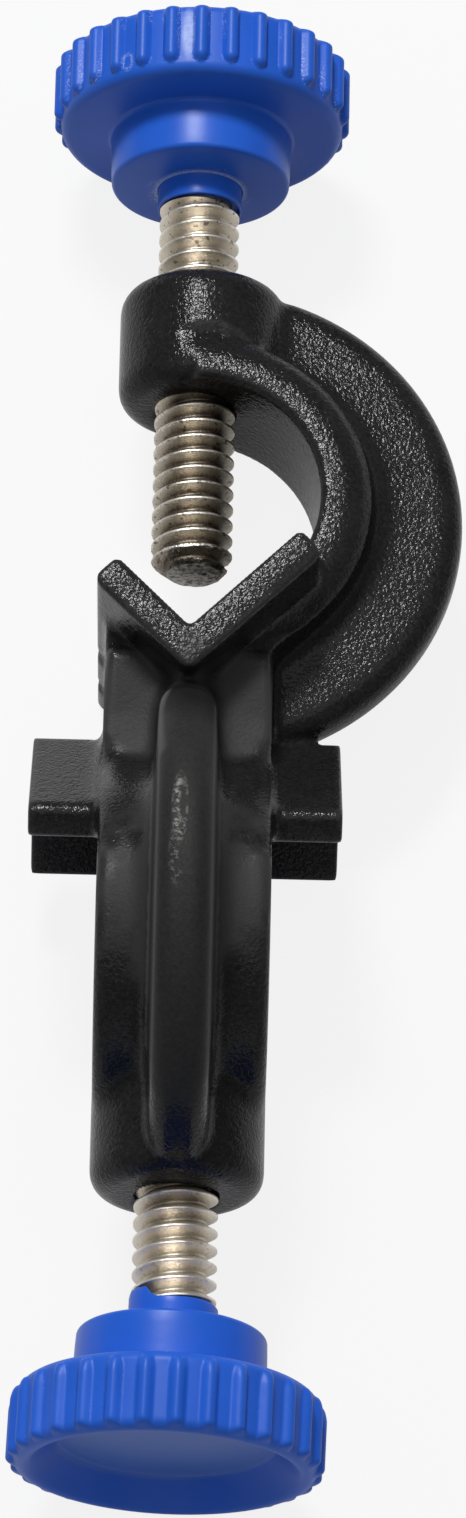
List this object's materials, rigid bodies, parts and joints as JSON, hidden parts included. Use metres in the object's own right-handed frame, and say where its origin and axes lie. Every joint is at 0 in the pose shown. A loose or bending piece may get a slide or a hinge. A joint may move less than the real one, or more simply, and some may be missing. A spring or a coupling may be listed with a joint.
{
  "type": "boss head clamp",
  "caption": "Black cast clamp with V jaws set at right angles, each closed by a blue-knobbed hand screw, for joining a level rod to a stand's upright.",
  "frame": {"origin": "bottom of the stand jaw's V groove, at the middle of its length, on the screws' axis", "axes": "+Z along the upright rod in the stand jaw, +Y along both screws towards the stand screw's knob, +X towards the stand jaw's arm; the clamp lies with its two knobs and the stand jaw's lower end on the table"},
  "size_m": [0.042, 0.1475, 0.0416],
  "materials": {
    "black_casting": "powder coat, fine pebbled, satin",
    "plated_steel": "nickel plated, semi-bright",
    "blue_plastic": "moulded, semi-gloss"
  },
  "bodies": {
    "casting": {"casting": "black_casting"},
    "stand_screw": {"stand_screw": "plated_steel"},
    "stand_knob": {"stand_knob": "blue_plastic"},
    "rod_screw": {"rod_screw": "plated_steel"},
    "rod_knob": {"rod_knob": "blue_plastic"}
  },
  "joints": [
    {"name": "stand_slide", "type": "slide", "parent": "casting", "child": "stand_screw", "axis": [0, -1, 0], "range_m": [-0.01701, 0.00851]},
    {"name": "stand_turn", "type": "hinge", "parent": "stand_screw", "child": "stand_knob", "pos_m": [0, 0.062, 0], "axis": [0, -1, 0], "range_deg": [-3600, 1800]},
    {"name": "rod_slide", "type": "slide", "parent": "casting", "child": "rod_screw", "axis": [0, 1, 0], "range_m": [-0.01531, 0.00851]},
    {"name": "rod_turn", "type": "hinge", "parent": "rod_screw", "child": "rod_knob", "pos_m": [0, -0.074, 0], "axis": [0, 1, 0], "range_deg": [-3240, 1800]}
  ],
  "couplings": [
    {"joint": "stand_slide", "follows": "stand_turn", "m_per_rad": 0.00027056},
    {"joint": "rod_slide", "follows": "rod_turn", "m_per_rad": 0.00027056}
  ]
}
